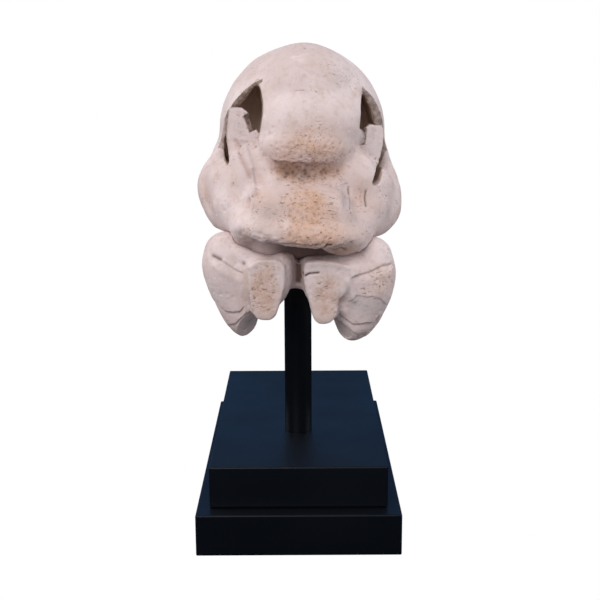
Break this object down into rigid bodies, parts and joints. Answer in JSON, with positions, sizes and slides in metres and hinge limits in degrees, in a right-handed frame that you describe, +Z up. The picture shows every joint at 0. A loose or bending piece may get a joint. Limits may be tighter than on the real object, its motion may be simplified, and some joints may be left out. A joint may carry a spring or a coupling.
{
  "type": "dinosaur skull fossil on stand",
  "caption": "Domed dinosaur skull with its lower jaw, held by a round rod on a stepped black display stand.",
  "frame": {"origin": "centre of the lower plinth's underside, on the surface that it stands on", "axes": "+Z up; the face looks along -Y; +X is on the right of someone facing it"},
  "size_m": [0.1915, 0.326, 0.438],
  "materials": {
    "fossil_bone": "matt pale pinkish-beige mineral bone with tan stains, pits and cracks",
    "plinth_black": "black satin lacquer",
    "rod_black": "matt black paint"
  },
  "bodies": {
    "root": {"skull_dome": "fossil_bone", "snout": "fossil_bone", "cheek_left": "fossil_bone", "cheek_right": "fossil_bone", "skull_base": "fossil_bone", "jaw_left": "fossil_bone", "jaw_right": "fossil_bone", "stand_plinth_lower": "plinth_black", "stand_plinth_upper": "plinth_black", "stand_rod": "rod_black"}
  },
  "joints": []
}
